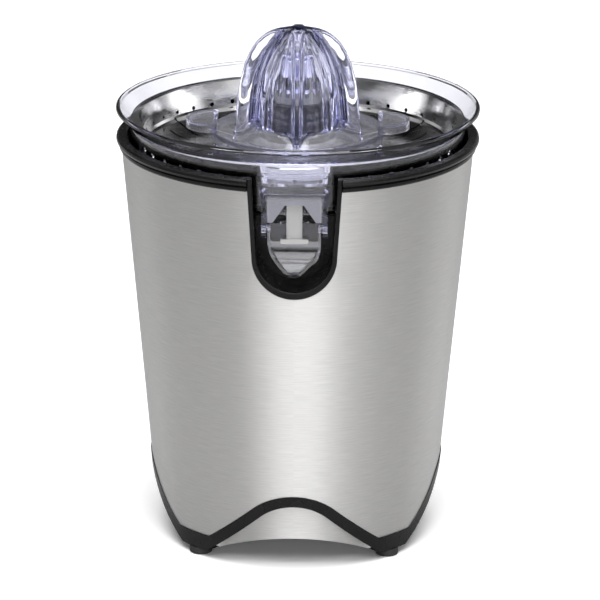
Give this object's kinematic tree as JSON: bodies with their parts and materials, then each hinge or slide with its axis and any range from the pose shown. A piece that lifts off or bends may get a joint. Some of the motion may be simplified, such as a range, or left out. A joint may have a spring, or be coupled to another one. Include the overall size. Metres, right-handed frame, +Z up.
{
  "type": "citrus press juicer",
  "caption": "Upright electric citrus juicer with tapered steel housing, clear bowl, steel strainer, ribbed reamer and a tilting drip-stop spout.",
  "frame": {"origin": "centre of the foot plane, on the table under the middle of the base", "axes": "+Z up, -Y towards the pouring spout, +X to the right seen from the spout side"},
  "size_m": [0.19, 0.19, 0.2734],
  "materials": {
    "brushed_steel": "fine horizontal brushing",
    "polished_steel": "polished",
    "black_plastic": "satin moulded",
    "grey_plastic": "satin moulded",
    "clear_plastic": "clear moulded plastic, faint lilac in thick sections",
    "white_silicone": "soft matt",
    "black_rubber": "matt",
    "screw_steel": "zinc plated",
    "shaft_steel": "ground",
    "gear_plastic": "natural acetal",
    "bronze": "sintered",
    "lamination_steel": "stacked sheet",
    "copper": "lacquered winding"
  },
  "bodies": {
    "housing": {"base_frame": "black_plastic", "base_panel_back": "brushed_steel", "base_panel_front": "brushed_steel", "base_panel_left": "brushed_steel", "base_panel_right": "brushed_steel", "bottom_cover": "black_plastic", "cord_gland": "black_rubber", "cover_screws": "screw_steel", "drive_tower": "grey_plastic", "foot_back_left": "black_rubber", "foot_back_right": "black_rubber", "foot_front_left": "black_rubber", "foot_front_right": "black_rubber", "gearbox_base": "grey_plastic", "gearbox_bush": "bronze", "gearbox_cover": "grey_plastic", "gearbox_screws": "screw_steel", "guide_post": "shaft_steel", "idler_axle": "shaft_steel", "idler_washers": "screw_steel", "inner_deck": "black_plastic", "lower_bearing": "bronze", "microswitch": "black_plastic", "motor_bracket": "screw_steel", "motor_screws": "screw_steel", "mounting_posts": "grey_plastic", "shaft_bush": "bronze", "shaft_seal": "white_silicone", "spout_bezel": "black_plastic", "stator_coils": "copper", "stator_stack": "lamination_steel", "steel_shell": "brushed_steel", "top_collar": "black_plastic", "upper_bearing": "bronze"},
    "bowl": {"juice_bowl": "clear_plastic"},
    "strainer": {"strainer": "polished_steel"},
    "spout": {"pour_spout": "clear_plastic", "spout_pins": "clear_plastic", "spout_seal": "white_silicone"},
    "thrust": {"thrust_plate": "gear_plastic", "return_spring": "shaft_steel"},
    "output": {"output_shaft": "shaft_steel", "output_gear": "gear_plastic"},
    "reamer": {"reamer_cone": "clear_plastic", "pulp_plate": "clear_plastic", "drive_socket": "clear_plastic"},
    "switch_button": {"switch_button": "gear_plastic"},
    "idler": {"idler_wheel": "gear_plastic", "idler_pinion": "gear_plastic"},
    "rotor": {"motor_shaft": "shaft_steel", "motor_pinion": "bronze", "rotor_core": "lamination_steel", "cooling_fan": "black_plastic"}
  },
  "joints": [
    {"name": "bowl_lift", "type": "slide", "parent": "housing", "child": "bowl", "axis": [0, 0, 1], "range_m": [0, 0.05]},
    {"name": "strainer_lift", "type": "slide", "parent": "bowl", "child": "strainer", "axis": [0, 0, 1], "range_m": [0, 0.025]},
    {"name": "spout_tilt", "type": "hinge", "parent": "bowl", "child": "spout", "pos_m": [0, -0.0865, 0.19], "axis": [-1, 0, 0], "range_deg": [0, 38]},
    {"name": "reamer_press", "type": "slide", "parent": "housing", "child": "thrust", "axis": [0, 0, 1], "range_m": [-0.0015, 0], "stiffness_N_per_m": 3000, "springref_m": 0.002, "deforming": ["return_spring"]},
    {"name": "output_spin", "type": "hinge", "parent": "thrust", "child": "output", "pos_m": [0, 0, 0.19], "axis": [0, 0, 1], "continuous": true},
    {"name": "reamer_lift", "type": "slide", "parent": "output", "child": "reamer", "axis": [0, 0, 1], "range_m": [0, 0.1]},
    {"name": "switch_press", "type": "slide", "parent": "housing", "child": "switch_button", "axis": [0, 0, 1], "range_m": [-0.0015, 0]},
    {"name": "idler_spin", "type": "hinge", "parent": "housing", "child": "idler", "pos_m": [0, 0.03, 0.148], "axis": [0, 0, 1], "continuous": true},
    {"name": "motor_spin", "type": "hinge", "parent": "housing", "child": "rotor", "pos_m": [0, 0, 0.08], "axis": [0, 0, 1], "continuous": true}
  ],
  "couplings": [
    {"joint": "idler_spin", "follows": "motor_spin", "ratio": -0.25},
    {"joint": "output_spin", "follows": "motor_spin", "ratio": 0.076087},
    {"joint": "switch_press", "follows": "reamer_press", "ratio": 1},
    {"joint": "strainer_lift", "follows": "bowl_lift", "ratio": 0.5},
    {"joint": "reamer_lift", "follows": "bowl_lift", "ratio": 2}
  ]
}
